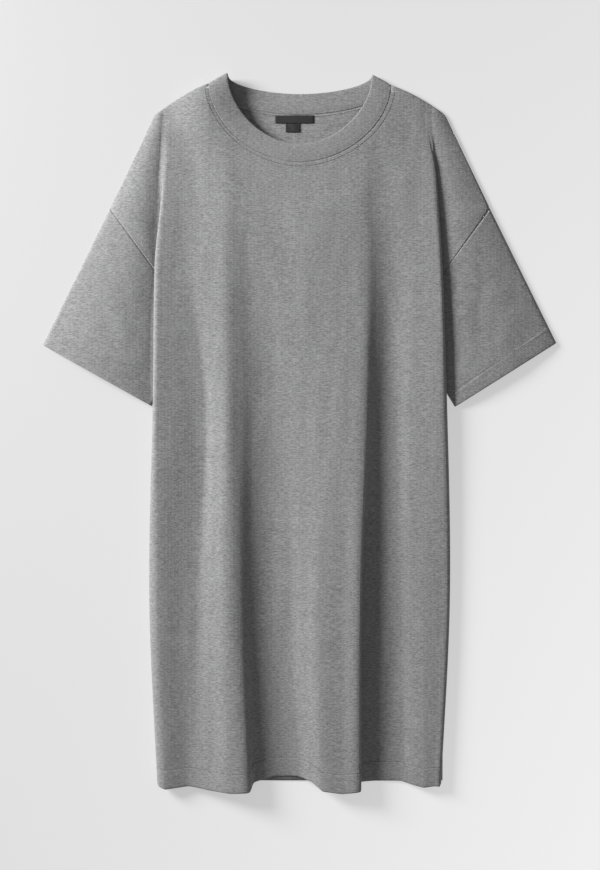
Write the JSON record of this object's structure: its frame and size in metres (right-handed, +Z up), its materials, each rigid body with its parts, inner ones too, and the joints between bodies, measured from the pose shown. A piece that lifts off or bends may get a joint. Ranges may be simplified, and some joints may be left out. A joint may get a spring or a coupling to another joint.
{
  "type": "t-shirt dress laid flat",
  "caption": "Loose knee-length t-shirt dress laid flat, with a round neckband, dropped shoulders, short wide sleeves and long soft folds to the hem",
  "frame": {"origin": "centre of the bounding box on the surface that the dress lies on", "axes": "+Z up from the surface, +Y from the hem towards the neckline, +X to the right of the front as it is seen from above"},
  "size_m": [0.678, 0.9451, 0.023],
  "materials": {
    "jersey": "heather grey knit, soft and matt",
    "neckband": "heather grey knit, folded double and topstitched",
    "label": "woven satin tape, bare"
  },
  "bodies": {
    "root": {"front_panel": "jersey", "back_panel": "jersey", "sleeve_left": "jersey", "sleeve_right": "jersey", "neckband": "neckband", "label_main": "label", "label_size": "label"}
  },
  "joints": []
}
